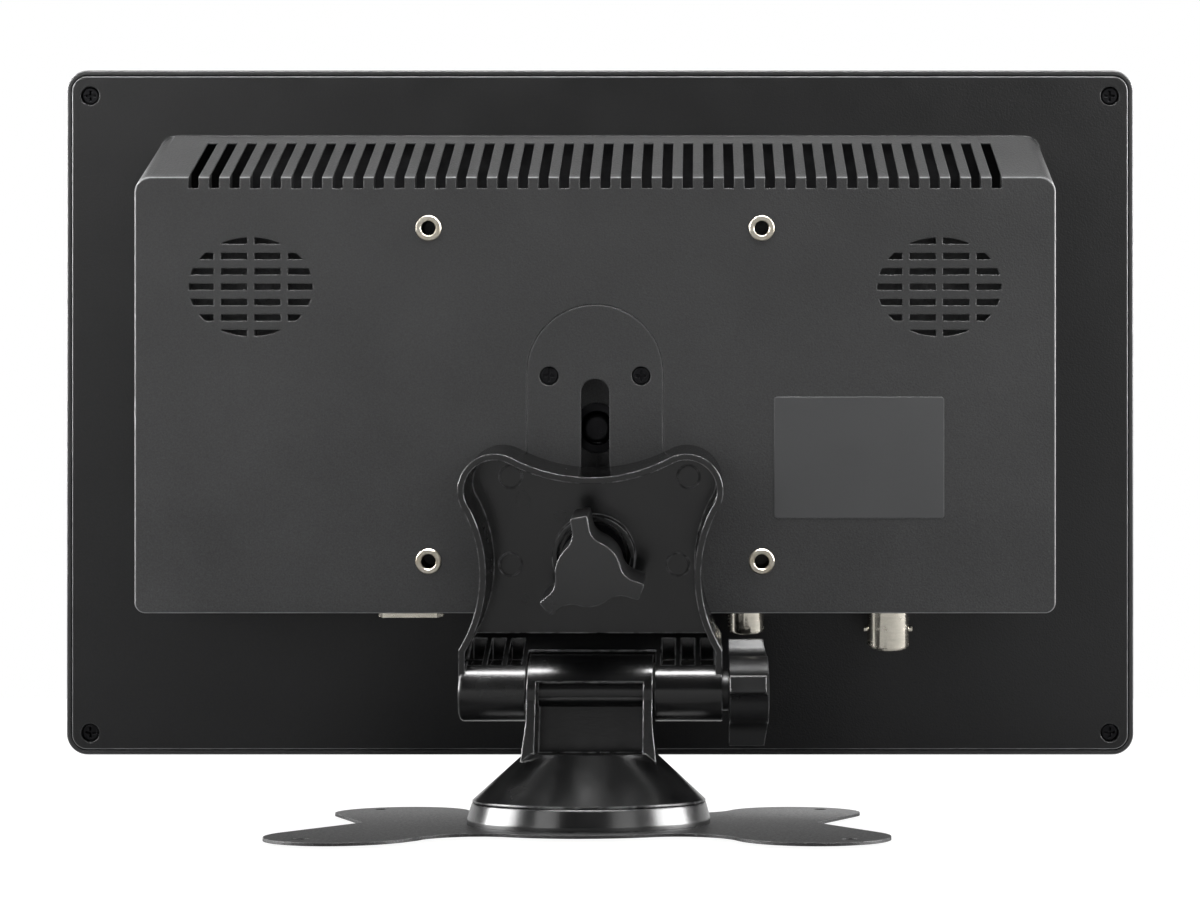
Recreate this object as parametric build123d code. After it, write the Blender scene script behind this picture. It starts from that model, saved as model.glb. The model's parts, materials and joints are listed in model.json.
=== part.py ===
from build123d import *
import os
from math import cos, radians, sin, sqrt

# A ten-inch video monitor on its tilting, swivelling table stand. All sizes are in millimetres.
#
# Row frame: the origin is on the table at the stand's swivel axis, +Z is up, +X is to the right of
# someone who looks at the monitor's back, and the screen faces +Y.
#
# Panel frame: the monitor and the tilting bracket are drawn upright first. X is the same, Z runs up
# the screen, Y = 0 is the raised back face, the screen is on the +Y side, and X = Z = 0 is the centre
# of the square of threaded inserts. `lean_back` then sets that frame on the hinge of the stand.

# ---- stand: heights above the table and the rest pose
TILT_AT_REST = 16.8
HINGE_HEIGHT = 28.3
HINGE_Y = -10.0
HINGE_Z = -63.3

# ---- monitor case
BEZEL_WIDTH = 252.2
BEZEL_HEIGHT = 161.8
BEZEL_CORNER = 5.0
BEZEL_WALL = 1.15
BEZEL_BACK = 16.6
CASE_CENTRE_Z = -5.9
CASE_DEPTH = 30.0
BEZEL_FACE = 2.0
BEZEL_ROUND = 1.4
COVER_GAP = 0.25
COVER_WALL = 2.0
COVER_CORNER = 3.6
HOUSING_HALF_WIDTH = 103.8
HOUSING_BOTTOM = -49.3
HOUSING_CREASE = 48.9
HOUSING_TOP = 59.4
HOUSING_DEPTH = 16.2
FACE_TOP_CORNER = 3.6
FACE_BOTTOM_CORNER = 2.5
FACE_EDGE = 0.6

# ---- screen
WINDOW_WIDTH = 222.8
WINDOW_HEIGHT = 125.4
WINDOW_CENTRE_Z = -2.35
MODULE_WIDTH = 235.0
MODULE_HEIGHT = 143.0
MODULE_BACK = 23.6
MODULE_FRONT = 27.8
MODULE_WALL = 1.0

# ---- back face features
INSERT_SQUARE = 75.0
INSERT_RADIUS = 2.92
INSERT_BORE = 1.65
INSERT_PROUD = 0.35
INSERT_DEPTH = 4.0
VENT_COUNT = 40
VENT_PITCH = 4.635
VENT_WIDTH = 2.3
VENT_LOW = 46.5
VENT_HIGH = 57.6
GRILLE_X = 77.5
GRILLE_Z = 24.3
GRILLE_SEMI_X = 14.0
GRILLE_SEMI_Z = 11.15
GRILLE_PITCH = 3.46
GRILLE_SLOT = 1.42
GRILLE_BAR = 1.58
GRILLE_BAR_PITCH = 7.54
CASE_SCREW_X = 120.3
CASE_SCREW_TOP = 68.9
CASE_SCREW_BOTTOM = -81.4
CASE_SCREW_HEAD = 2.0
SNAP_WINDOW_X = 92.9
SNAP_WINDOW_WIDTH = 5.7

# ---- slot for the stand
TONGUE_HALF_WIDTH = 15.25
TONGUE_ARCH_Z = 5.0
TONGUE_THICK = 1.8
TONGUE_GAP = 0.14
SLOT_WIDTH = 6.4
SLOT_TOP = 3.6
TRACK_WIDTH = 12.8
TRACK_DEPTH = 6.6
TRACK_TOP = 7.0
TRACK_SCREW_Z = -8.3
TRACK_SCREW_HEAD = 3.9
TRACK_RECESS = 5.8
TONGUE_SCREW_X = 10.36
TONGUE_SCREW_Z = 4.25

# ---- sockets under the raised back
SOCKET_Y = 7.5
HDMI_X = -42.6
DC_X = -24.2
RCA_X = 34.2
BNC_X = 66.8
BOARD_BACK = 11.9
BOARD_THICK = 1.6

# ---- front controls
CONTROL_Z = -81.0
BUTTON_X = {"plus": -42.0, "minus": -53.0, "menu": -64.0, "source": -75.0, "power": -86.0}
BUTTON_RADIUS = 3.0
LED_X = -95.0
IR_X = -103.0

# ---- tilting bracket, in the panel frame
BRACKET_BACK = -0.15
BRACKET_FLOOR = -2.4
BRACKET_RIM = -14.7
RIM_THICK = 1.4
BARREL_RADIUS = 6.6
BARREL_HALF = 28.4
BARREL_GAP = 0.45
KNUCKLE_HALF = 13.45
KNUCKLE_RADIUS = 7.5
KNUCKLE_GAP = 0.4
SADDLE_Z = -52.9
APRON_FRONT = -8.0
POCKET_RIB = 1.25
POCKET_WALL = 1.7
KNOB_Z = -35.6
EAR_X = 20.65
EAR_Z = -19.2
EAR_RADIUS = 8.0
SHOULDER_Z = -22.0
DIP_RADIUS = 36.4
WAIST_X = 23.9
BRACKET_FOOT = 9.8
COLLAR_RADIUS = 9.2
COLLAR_TOP = -5.2
BOLT_RADIUS = 2.95
BOLT_HOLE = 3.1

# ---- knobs
CLAMP_KNOB_REACH = 12.0
CLAMP_KNOB_FRONT = -21.5
CLAMP_KNOB_THICK = 11.5
TILT_KNOB_REACH = 12.3
TILT_KNOB_THICK = 8.8
KNOB_CAP = 2.6
CLAMP_KNOB_TURN = 100
TILT_KNOB_TURN = -112
KNOB_BODY = 7.0
KNOB_WING = 3.7
KNOB_FLARE = 4.2
KNOB_DOME = 66.0
KNOB_SPACER = 1.5
WASHER_FRONT = -4.0
CLAMP_HUB = WASHER_FRONT - 0.05 - CLAMP_KNOB_FRONT - CLAMP_KNOB_THICK

# ---- post and base
COLUMN_HALF_DEPTH = 7.2
COLUMN_WALL = 2.0
SLEEVE_RADIUS = 3.65
CONE_TOP_RADIUS = 14.2
CONE_TOP = 15.2
CONE_LOW_RADIUS = 24.8
CONE_LOW = 5.6
RING_TOP_RADIUS = 24.9
RING_LOW_RADIUS = 25.8
PLATE_TOP = 1.2
PLATE_THICK = 0.6
DISC_RADIUS = 30.5
PETAL_RADIUS = 15.3
PETAL_X = 45.3
FOOT_Y = CASE_DEPTH - BEZEL_ROUND - HINGE_Y
FOOT_Z = CASE_CENTRE_Z - BEZEL_HEIGHT / 2 + BEZEL_ROUND - HINGE_Z
LEAN = radians(TILT_AT_REST)
# the petals reach as far to -Y as the foot of the leaning case does to +Y
FOOTPRINT_REACH = FOOT_Y * cos(LEAN) - FOOT_Z * sin(LEAN) + BEZEL_ROUND
PETAL_Y = FOOTPRINT_REACH - PETAL_RADIUS
NOTCH_X = 48.3
NECK_RADIUS = 12.0
PLATE_HOLE = 1.6
PLATE_HOLE_X = 52.0
PLATE_HOLE_Y = 37.0
PAD_RADIUS = 11.0
PAD_X = 41.6
PAD_Y = 22.8

BEHIND = 1.0        # how far a cutter starts outside the face it cuts
THREAD_GAP = 0.05   # radial gap between a screw and the hole it is threaded into


# ======================================================================= helpers
def slab(sketch, low, high):
    """Fill the panel frame from y = low to y = high with a sketch drawn in X and Z."""
    return extrude(Plane.XZ.offset(-high) * sketch, amount=high - low, dir=(0, -1, 0))


def bar(section, low, high):
    """Run a section drawn in Y and Z from x = low to x = high."""
    return extrude(Plane.YZ.offset(low) * section, amount=high - low, dir=(1, 0, 0))


def rod_y(radius, low, high, x=0.0, z=0.0):
    """A cylinder along Y, from y = low to y = high."""
    return slab(Pos(x, z) * Circle(radius), low, high)


def rod_x(radius, low, high, y=0.0, z=0.0):
    """A cylinder along X, from x = low to x = high."""
    return bar(Pos(y, z) * Circle(radius), low, high)


def rod_z(radius, low, high, x=0.0, y=0.0):
    """A cylinder along Z, from z = low to z = high."""
    return extrude(Plane.XY.offset(low) * Pos(x, y) * Circle(radius), amount=high - low)


def block(x, y, z):
    """A box between the two limits given for each axis."""
    size = [high - low for low, high in (x, y, z)]
    middle = [(high + low) / 2 for low, high in (x, y, z)]
    return Pos(*middle) * Box(*size)


def turned(points):
    """Spin an outline of (radius, height) points round the Z axis."""
    return revolve(Plane.XZ * make_face(Polyline(*points, close=True)), Axis.Z)


def edges_at(shape, axis, value):
    """Edges of a shape that lie in one plane across an axis."""
    return shape.edges().filter_by_position(axis, value - 0.01, value + 0.01)


def panel_rectangle(width, height, corner, centre_z):
    return Pos(0, centre_z) * RectangleRounded(width, height, corner)


def lean_back(shape):
    """Set a shape from the panel frame on the stand's hinge, leaning back as it stands at rest."""
    return Pos(0, 0, HINGE_HEIGHT) * Rot(X=TILT_AT_REST) * Pos(0, -HINGE_Y, -HINGE_Z) * shape


def cross_recess(size, depth):
    """The cross of a Phillips screw, cut into a head whose top is at z = 0."""
    arms = Rectangle(size, size / 4) + Rectangle(size / 4, size)
    return extrude(arms, amount=-depth, taper=12)


def pan_screw(head_radius, head_height, shank_radius, length):
    """A pan-head Phillips screw along Z: the head is above z = 0 and the shank below."""
    head = rod_z(head_radius, 0, head_height)
    head = fillet(edges_at(head, Axis.Z, head_height), head_height * 0.45)
    screw = head + rod_z(shank_radius, -length, 0)
    return screw - Pos(0, 0, head_height) * cross_recess(head_radius * 1.25, head_height * 0.6)


def facing_back(shape):
    """Turn a Z-axis fastener so that its head faces the back of the monitor."""
    return Rot(X=90) * shape


def slope_y(z):
    """Depth of the vented slope at a height z between the crease and the flange."""
    return (z - HOUSING_CREASE) * HOUSING_DEPTH / (HOUSING_TOP - HOUSING_CREASE)


# ======================================================================= monitor case
def housing_outline(inset, top, y):
    """Cross-section of the raised back: square sides, larger corners at the top."""
    width = 2 * (HOUSING_HALF_WIDTH - inset)
    low = HOUSING_BOTTOM + inset
    outline = Pos(0, (top + low) / 2) * Rectangle(width, top - low)
    upper = outline.vertices().group_by(Axis.Y)[-1]
    outline = fillet(upper, FACE_TOP_CORNER - inset * 0.5)
    lower = outline.vertices().group_by(Axis.Y)[0]
    outline = fillet(lower, FACE_BOTTOM_CORNER - inset * 0.5)
    return Plane.XZ.offset(-y) * outline


def raised_back(inset, near, far, top_drop):
    """The raised back as a loft from its flat face at y = near to the flange at y = far."""
    rise = (HOUSING_TOP - HOUSING_CREASE) / HOUSING_DEPTH
    near_top = HOUSING_CREASE + rise * near - top_drop
    far_top = HOUSING_CREASE + rise * far - top_drop
    near_section = housing_outline(inset, near_top, near).face()
    far_section = housing_outline(inset, far_top, far).face()
    return loft([near_section, far_section])


def vent_cutters():
    """Slots that start low on the back face and run up the slope."""
    top_y = slope_y(VENT_HIGH)
    slope = sqrt((HOUSING_TOP - HOUSING_CREASE) ** 2 + HOUSING_DEPTH ** 2)
    out_y, out_z = -(HOUSING_TOP - HOUSING_CREASE) / slope, HOUSING_DEPTH / slope
    inner_reach = 3.6
    section = Polyline(
        (-BEHIND, VENT_LOW),
        (2 * COVER_WALL, VENT_LOW),
        (top_y - inner_reach * out_y, VENT_HIGH - inner_reach * out_z),
        (top_y + out_y, VENT_HIGH + out_z),
        (-BEHIND, HOUSING_CREASE + BEHIND),
        close=True,
    )
    cutter = bar(make_face(section), -VENT_WIDTH / 2, VENT_WIDTH / 2)
    first = -VENT_PITCH * (VENT_COUNT - 1) / 2
    return [Pos(first + i * VENT_PITCH, 0, 0) * cutter for i in range(VENT_COUNT)]


def grille_sketch():
    """Seven rows of slots inside an ellipse, split by three upright bars."""
    rows = Sketch()
    for row in range(-3, 4):
        rows += Pos(0, row * GRILLE_PITCH) * Rectangle(2 * GRILLE_SEMI_X, GRILLE_SLOT)
    slots = rows & Ellipse(GRILLE_SEMI_X, GRILLE_SEMI_Z)
    for bar in (-1, 0, 1):
        slots -= Pos(bar * GRILLE_BAR_PITCH, 0) * Rectangle(GRILLE_BAR, 4 * GRILLE_SEMI_Z)
    return slots


def tongue_outline(grow):
    """Arched plate that covers the stand slot, down to the bottom of the raised back."""
    half = TONGUE_HALF_WIDTH + grow
    low = HOUSING_BOTTOM
    straight = Pos(0, (TONGUE_ARCH_Z + low) / 2) * Rectangle(2 * half, TONGUE_ARCH_Z - low)
    return straight + Pos(0, TONGUE_ARCH_Z) * Circle(half)


def slot_outline(width, top):
    """A slot with a round top that is open at the bottom of the raised back."""
    low = HOUSING_BOTTOM - BEHIND
    centre = top - width / 2
    return Pos(0, (centre + low) / 2) * Rectangle(width, centre - low) + Pos(0, centre) * Circle(width / 2)


def insert_places():
    half = INSERT_SQUARE / 2
    return [(x, z) for x in (-half, half) for z in (-half, half)]


def case_screw_places():
    return [(x, z) for x in (-CASE_SCREW_X, CASE_SCREW_X) for z in (CASE_SCREW_BOTTOM, CASE_SCREW_TOP)]


def rear_cover():
    cover_width = BEZEL_WIDTH - 2 * (BEZEL_WALL + COVER_GAP)
    cover_height = BEZEL_HEIGHT - 2 * (BEZEL_WALL + COVER_GAP)
    flange_front = HOUSING_DEPTH + COVER_WALL
    skirt_front = 21.5
    skirt = 1.3
    outer = panel_rectangle(cover_width, cover_height, COVER_CORNER, CASE_CENTRE_Z)
    inner_width, inner_height = cover_width - 2 * skirt, cover_height - 2 * skirt
    inner = panel_rectangle(inner_width, inner_height, COVER_CORNER - skirt, CASE_CENTRE_Z)
    flange = slab(outer, HOUSING_DEPTH, skirt_front)
    flange = fillet(edges_at(flange, Axis.Y, HOUSING_DEPTH), 0.5)
    flange -= slab(inner, flange_front, skirt_front + BEHIND)

    shell = raised_back(0, 0, HOUSING_DEPTH + 0.6, 0)
    shell = fillet(edges_at(shell, Axis.Y, 0), FACE_EDGE)
    cover = flange + shell
    cover -= raised_back(COVER_WALL, COVER_WALL, flange_front + BEHIND, 0.4)

    track_wall = slab(tongue_outline(2.4), COVER_WALL - 0.5, TRACK_DEPTH + 2.2)
    cover += track_wall & block((-40, 40), (0, 12), (HOUSING_BOTTOM, 40))
    for x, z in insert_places():
        cover += rod_y(4.6, COVER_WALL - 0.5, INSERT_DEPTH + 0.6, x, z)
    for x, z in case_screw_places():
        cover += rod_y(3.0, flange_front - 0.5, flange_front + 1.2, x, z)

    cover -= slab(tongue_outline(TONGUE_GAP), -BEHIND, TONGUE_THICK)
    cover -= slab(slot_outline(TRACK_WIDTH, TRACK_TOP), TONGUE_THICK - 0.1, TRACK_DEPTH)
    cover -= rod_y(TRACK_RECESS, TRACK_DEPTH - 0.5, TRACK_DEPTH + 0.8, 0, TRACK_SCREW_Z)
    cover -= rod_y(1.5, TRACK_DEPTH, TRACK_DEPTH + 4, 0, TRACK_SCREW_Z)
    for x in (-TONGUE_SCREW_X, TONGUE_SCREW_X):
        cover -= rod_y(1.25, 0, TRACK_DEPTH, x, TONGUE_SCREW_Z)
    for x, z in insert_places():
        cover -= rod_y(INSERT_RADIUS, -BEHIND, INSERT_DEPTH, x, z)
    for x, z in case_screw_places():
        cover -= rod_y(2.2, HOUSING_DEPTH - BEHIND, HOUSING_DEPTH + 1.3, x, z)
        cover -= rod_y(1.4, HOUSING_DEPTH, flange_front + 2, x, z)
    for cutter in vent_cutters():
        cover -= cutter
    for x in (-GRILLE_X, GRILLE_X):
        cover -= slab(Pos(x, GRILLE_Z) * grille_sketch(), -BEHIND, COVER_WALL + BEHIND)
    for cutter in socket_openings():
        cover -= cutter
    for x in (-SNAP_WINDOW_X, SNAP_WINDOW_X):
        half = SNAP_WINDOW_WIDTH / 2
        cover -= block((x - half, x + half), (14.2, 17.2), (HOUSING_BOTTOM - 0.8, HOUSING_BOTTOM + 0.5))
    return cover


def socket_openings():
    """Openings through the bottom wall of the raised back, with a little room round each socket."""
    low, high = HOUSING_BOTTOM - BEHIND, HOUSING_BOTTOM + COVER_WALL + BEHIND
    hdmi = block((HDMI_X - 7.55, HDMI_X + 7.55), (SOCKET_Y - 2.95, SOCKET_Y + 2.95), (low, high))
    jacks = [(DC_X, 4.15), (RCA_X, 4.3), (BNC_X, 4.95)]
    return [hdmi] + [rod_z(radius, low, high, x, SOCKET_Y) for x, radius in jacks]


def slot_plate():
    plate = slab(tongue_outline(0), 0, TONGUE_THICK)
    plate -= slab(slot_outline(SLOT_WIDTH, SLOT_TOP), -BEHIND, TONGUE_THICK + BEHIND)
    for x in (-TONGUE_SCREW_X, TONGUE_SCREW_X):
        plate -= rod_y(2.15, -BEHIND, 0.9, x, TONGUE_SCREW_Z)
        plate -= rod_y(1.4, 0, TONGUE_THICK + BEHIND, x, TONGUE_SCREW_Z)
    return plate


def slot_plate_screws():
    screw = facing_back(pan_screw(2.0, 0.85, 1.25 - THREAD_GAP, 4.2))
    return [Pos(x, 0.9, TONGUE_SCREW_Z) * screw for x in (-TONGUE_SCREW_X, TONGUE_SCREW_X)]


def track_screw():
    """Plain domed rivet at the bottom of the track, on a wide flat collar."""
    collar = rod_z(TRACK_RECESS - 0.2, 0, 0.4)
    dome = rod_z(TRACK_SCREW_HEAD, 0, 2.2)
    dome = fillet(edges_at(dome, Axis.Z, 2.2), 1.6)
    rivet = collar + dome + rod_z(1.5 - THREAD_GAP, -3.6, 0)
    return Pos(0, TRACK_DEPTH + 0.8, TRACK_SCREW_Z) * facing_back(rivet)


def case_screws():
    screw = facing_back(pan_screw(CASE_SCREW_HEAD, 0.95, 1.25 - THREAD_GAP, 8.5))
    return [Pos(x, HOUSING_DEPTH + 1.3, z) * screw for x, z in case_screw_places()]


def vesa_inserts():
    """Knurled threaded bushes that take the screws of a wall bracket."""
    bush = rod_y(INSERT_RADIUS - 0.02, -INSERT_PROUD, INSERT_DEPTH)
    bush = chamfer(edges_at(bush, Axis.Y, -INSERT_PROUD), 0.25)
    bush -= rod_y(INSERT_BORE, -BEHIND, INSERT_DEPTH + BEHIND)
    mouth = edges_at(bush, Axis.Y, -INSERT_PROUD).filter_by(GeomType.CIRCLE).sort_by(SortBy.RADIUS)[0]
    bush = chamfer(mouth, 0.2)
    return [Pos(x, 0, z) * bush for x, z in insert_places()]


def rating_label():
    """A blank rating label on the back face."""
    return slab(Pos(59.4, -14.1) * RectangleRounded(38.3, 27.4, 0.8), -0.12, 0)


def front_bezel():
    outer = panel_rectangle(BEZEL_WIDTH, BEZEL_HEIGHT, BEZEL_CORNER, CASE_CENTRE_Z)
    inner_width = BEZEL_WIDTH - 2 * BEZEL_WALL
    inner_height = BEZEL_HEIGHT - 2 * BEZEL_WALL
    inner = panel_rectangle(inner_width, inner_height, BEZEL_CORNER - BEZEL_WALL, CASE_CENTRE_Z)
    face_back = CASE_DEPTH - BEZEL_FACE
    bezel = slab(outer, BEZEL_BACK, CASE_DEPTH)
    bezel = fillet(edges_at(bezel, Axis.Y, CASE_DEPTH), BEZEL_ROUND)
    bezel = fillet(edges_at(bezel, Axis.Y, BEZEL_BACK), 0.5)
    bezel -= slab(inner, BEZEL_BACK - BEHIND, face_back)
    window = Pos(0, WINDOW_CENTRE_Z) * Rectangle(WINDOW_WIDTH, WINDOW_HEIGHT)
    bezel -= slab(window, face_back - BEHIND, CASE_DEPTH + BEHIND)
    for x, z in case_screw_places():
        bezel += rod_y(2.6, HOUSING_DEPTH + COVER_WALL + 1.3, face_back, x, z)
        bezel -= rod_y(1.25, HOUSING_DEPTH + COVER_WALL, face_back - 0.6, x, z)
    for x in BUTTON_X.values():
        bezel -= rod_y(BUTTON_RADIUS + 0.15, face_back - BEHIND, CASE_DEPTH + BEHIND, x, CONTROL_Z)
    bezel -= rod_y(1.1, face_back - BEHIND, CASE_DEPTH + BEHIND, LED_X, CONTROL_Z)
    bezel -= rod_y(2.6, face_back - BEHIND, CASE_DEPTH + BEHIND, IR_X, CONTROL_Z)
    return bezel


# ======================================================================= screen and electronics
def module_outline(inset):
    centre = WINDOW_CENTRE_Z - 0.65
    return Pos(0, centre) * Rectangle(MODULE_WIDTH - 2 * inset, MODULE_HEIGHT - 2 * inset)


def lcd_frame():
    """Metal tray that holds the light guide and the screen glass."""
    tray = slab(module_outline(0), MODULE_BACK, MODULE_FRONT)
    return tray - slab(module_outline(MODULE_WALL), MODULE_BACK + 0.8, MODULE_FRONT + BEHIND)


def light_guide():
    return slab(module_outline(MODULE_WALL + 0.3), MODULE_BACK + 0.8, MODULE_FRONT - 1.5)


def lcd_glass():
    return slab(module_outline(MODULE_WALL + 0.3), MODULE_FRONT - 1.5, MODULE_FRONT - 0.2)


STANDOFFS = [(-56, -40), (74, -22), (-56, 8), (74, 8)]


def chassis_plate():
    """Steel sheet between the screen and the main board."""
    plate = slab(Pos(0, -3) * RectangleRounded(196, 86, 4), 19.6, 20.6)
    for x, z in STANDOFFS:
        plate -= rod_y(1.25, 19, 21, x, z)
    return plate


def board_standoffs():
    post = slab(RegularPolygon(2.6, 6), BOARD_BACK + BOARD_THICK, 19.6)
    post -= rod_y(1.25, BOARD_BACK, 20.6)
    return [Pos(x, 0, z) * post for x, z in STANDOFFS]


def board_screws():
    screw = facing_back(pan_screw(2.4, 1.5, 1.25 - THREAD_GAP, 5.0))
    return [Pos(x, BOARD_BACK, z) * screw for x, z in STANDOFFS]


def main_board():
    board = block((-62, 80), (BOARD_BACK, BOARD_BACK + BOARD_THICK), (-45.7, 13.5))
    for x, z in STANDOFFS:
        board -= rod_y(1.5, BOARD_BACK - 1, BOARD_BACK + 3, x, z)
    return board


def board_chips():
    """The larger packages on the screen side of the main board."""
    low = BOARD_BACK + BOARD_THICK
    scaler = block((-9, 9), (low, low + 1.6), (-24, -6))
    memory = block((18, 28), (low, low + 1.2), (-20, -8))
    regulator = block((-40, -33), (low, low + 2.2), (-38, -29))
    cans = [rod_y(3.2, low, low + 4.6, x, -32) for x in (-50, 44, 54)]
    return [scaler, memory, regulator] + cans


def panel_cable():
    """Flat ribbon from the main board to the screen, through the gap above the chassis plate."""
    low = BOARD_BACK + BOARD_THICK
    drop = block((-14, 14), (low + 0.4, low + 0.7), (4, 42.0))
    rise = block((-14, 14), (low + 0.4, MODULE_BACK), (42.0, 42.3))
    plug = block((-15, 15), (low, low + 0.4), (4, 9))
    return drop + rise + plug


def key_board():
    return block((-108, -34), (22.0, 23.2), (CONTROL_Z - 4.2, CONTROL_Z + 4.2))


def key_switches():
    """One tact switch behind each front button."""
    switch = block((-2.2, 2.2), (23.2, 25.2), (-2.2, 2.2)) + rod_y(1.4, 25.2, 26.0)
    return [Pos(x, 0, CONTROL_Z) * switch for x in BUTTON_X.values()]


def key_cable():
    """Thin flat cable from the key board to the main board."""
    run = block((-60, -52), (21.3, 21.6), (-80, -46.6))
    step = block((-60, -52), (BOARD_BACK + BOARD_THICK, 21.6), (-46.6, -46.3))
    tail = block((-60, -52), (BOARD_BACK + BOARD_THICK, BOARD_BACK + BOARD_THICK + 0.3), (-46.3, -43.5))
    return run + step + tail


def button(x):
    cap = rod_y(BUTTON_RADIUS, 27.4, CASE_DEPTH + 0.35, x, CONTROL_Z)
    cap = fillet(edges_at(cap, Axis.Y, CASE_DEPTH + 0.35), 0.4)
    return cap + rod_y(BUTTON_RADIUS + 0.7, 26.6, CASE_DEPTH - BEZEL_FACE - 0.15, x, CONTROL_Z)


def power_led():
    pipe = rod_y(1.05, 24.0, CASE_DEPTH + 0.1, LED_X, CONTROL_Z)
    return pipe + rod_y(1.6, 23.2, 27.6, LED_X, CONTROL_Z)


def ir_window():
    window = rod_y(2.55, 25.0, CASE_DEPTH, IR_X, CONTROL_Z)
    return window + rod_y(3.3, 23.2, 27.6, IR_X, CONTROL_Z)


def speaker_frame(x):
    """Oval basket with its magnet, open towards the grille."""
    basket = slab(Pos(x, GRILLE_Z) * RectangleRounded(34, 26, 9), COVER_WALL + 0.2, 6.5)
    basket -= slab(Pos(x, GRILLE_Z) * RectangleRounded(31, 23, 8), COVER_WALL, 5.7)
    return basket + rod_y(7.0, 6.5, 10.8, x, GRILLE_Z)


def speaker_cone(x):
    """Shallow moulded diaphragm with a dust cap."""
    surround = slab(Pos(x, GRILLE_Z) * RectangleRounded(30.6, 22.6, 8), 3.4, 4.2)
    cap = Pos(x, 9.2, GRILLE_Z) * Sphere(7.2) & rod_y(5.2, 2.4, 3.5, x, GRILLE_Z)
    return surround + cap


def speaker_wires():
    """A twisted pair from each speaker to the main board, drawn as one lead a side."""
    low = BOARD_BACK + BOARD_THICK
    left = block((-61.0, -60.0), (low, low + 1), (-4, 24)) + block((-70.4, -60.0), (low, low + 1), (24, 25))
    right = block((78.0, 79.0), (low, low + 1), (-4, 24)) + block((76.0, 79.0), (low, low + 1), (24, 25))
    return [left, right]


def hdmi_shell():
    low, high = HOUSING_BOTTOM - 2.05, HOUSING_BOTTOM + 11
    shell = block((HDMI_X - 7.4, HDMI_X + 7.4), (SOCKET_Y - 2.8, SOCKET_Y + 2.8), (low, high))
    for x in (HDMI_X - 7.4, HDMI_X + 7.4):
        upright = edges_at(shell, Axis.X, x).filter_by(Axis.Z)
        shell = chamfer(upright.sort_by(Axis.Y)[0], 1.2)
    mouth = block((HDMI_X - 6.6, HDMI_X + 6.6), (SOCKET_Y - 1.7, SOCKET_Y + 2.2), (low - 1, high - 1.5))
    return shell - mouth


def hdmi_tongue():
    low, high = HOUSING_BOTTOM + 0.2, HOUSING_BOTTOM + 9.5
    return block((HDMI_X - 5.6, HDMI_X + 5.6), (SOCKET_Y - 0.4, SOCKET_Y + 0.9), (low, high))


def rca_shell():
    low = HOUSING_BOTTOM - 5.8
    barrel = rod_z(4.15, low, HOUSING_BOTTOM + 3, RCA_X, SOCKET_Y)
    barrel = fillet(edges_at(barrel, Axis.Z, low), 0.7)
    return barrel - rod_z(3.45, low - 1, HOUSING_BOTTOM + 4, RCA_X, SOCKET_Y)


def rca_core():
    """Plastic body of the phono socket, with the hole for the centre pin."""
    plug = rod_z(3.43, HOUSING_BOTTOM - 5.2, HOUSING_BOTTOM + 3, RCA_X, SOCKET_Y)
    body = block((RCA_X - 5, RCA_X + 5), (4.8, BOARD_BACK), (HOUSING_BOTTOM + 3, HOUSING_BOTTOM + 12))
    return plug + body - rod_z(1.6, HOUSING_BOTTOM - 7, HOUSING_BOTTOM + 8, RCA_X, SOCKET_Y)


def bnc_body():
    """Bayonet socket: barrel with two lugs, on a square block behind the wall."""
    low = HOUSING_BOTTOM - 9.35
    barrel = rod_z(4.8, low, HOUSING_BOTTOM + 3, BNC_X, SOCKET_Y)
    barrel = fillet(edges_at(barrel, Axis.Z, low), 0.8)
    lugs = rod_x(0.7, BNC_X - 5.55, BNC_X + 5.55, SOCKET_Y, HOUSING_BOTTOM - 5.2)
    body = block((BNC_X - 6.5, BNC_X + 6.5), (2.4, BOARD_BACK), (HOUSING_BOTTOM + 3, HOUSING_BOTTOM + 14))
    return barrel + lugs + body - rod_z(4.05, low - 1, HOUSING_BOTTOM + 4, BNC_X, SOCKET_Y)


def bnc_insulator():
    sleeve = rod_z(4.03, HOUSING_BOTTOM - 1.0, HOUSING_BOTTOM + 4, BNC_X, SOCKET_Y)
    sleeve += rod_z(2.4, HOUSING_BOTTOM - 7.3, HOUSING_BOTTOM, BNC_X, SOCKET_Y)
    return sleeve - rod_z(1.15, HOUSING_BOTTOM - 9, HOUSING_BOTTOM + 5, BNC_X, SOCKET_Y)


def bnc_contact():
    pin = rod_z(1.13, HOUSING_BOTTOM - 6.7, HOUSING_BOTTOM + 4, BNC_X, SOCKET_Y)
    return pin - rod_z(0.7, HOUSING_BOTTOM - 8, HOUSING_BOTTOM - 1, BNC_X, SOCKET_Y)


def dc_jack():
    barrel = rod_z(4.0, HOUSING_BOTTOM + 0.3, HOUSING_BOTTOM + 3, DC_X, SOCKET_Y)
    body = block((DC_X - 4.5, DC_X + 4.5), (3.0, BOARD_BACK), (HOUSING_BOTTOM + 3, HOUSING_BOTTOM + 12))
    return barrel + body - rod_z(2.8, HOUSING_BOTTOM - 1, HOUSING_BOTTOM + 9.5, DC_X, SOCKET_Y)


def dc_pin():
    return rod_z(1.0, HOUSING_BOTTOM + 1.0, HOUSING_BOTTOM + 9.5, DC_X, SOCKET_Y)


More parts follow.
